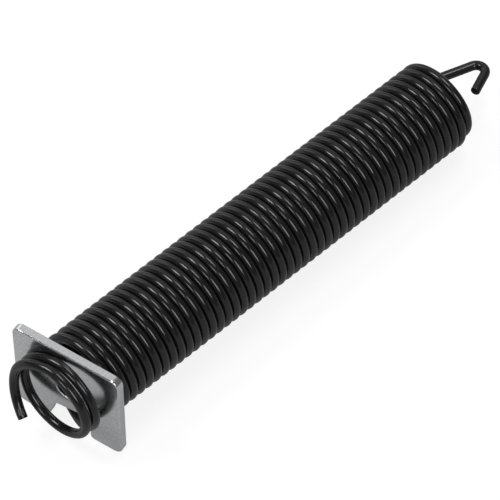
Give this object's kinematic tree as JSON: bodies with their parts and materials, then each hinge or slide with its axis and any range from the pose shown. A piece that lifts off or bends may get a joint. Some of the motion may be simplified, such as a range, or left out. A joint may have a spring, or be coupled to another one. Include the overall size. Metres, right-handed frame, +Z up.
{
  "type": "door hinge spring",
  "caption": "Close-wound black tension spring with a wire hook at one end and a threaded square plate on the other, for the hinge of a heavy appliance door",
  "frame": {"origin": "middle of the threaded hole, on the front face of the plate", "axes": "+X along the coil's axis from the plate to the hook, +Z up, +Y to the left of somebody who looks along +X"},
  "size_m": [0.1852, 0.0364, 0.037],
  "materials": {
    "black_wire": "glossy black coating on drawn spring wire",
    "zinc_plate": "bright zinc plating on pressed sheet"
  },
  "bodies": {
    "root": {"spring_coil": "black_wire", "tension_plate": "zinc_plate"}
  },
  "joints": []
}
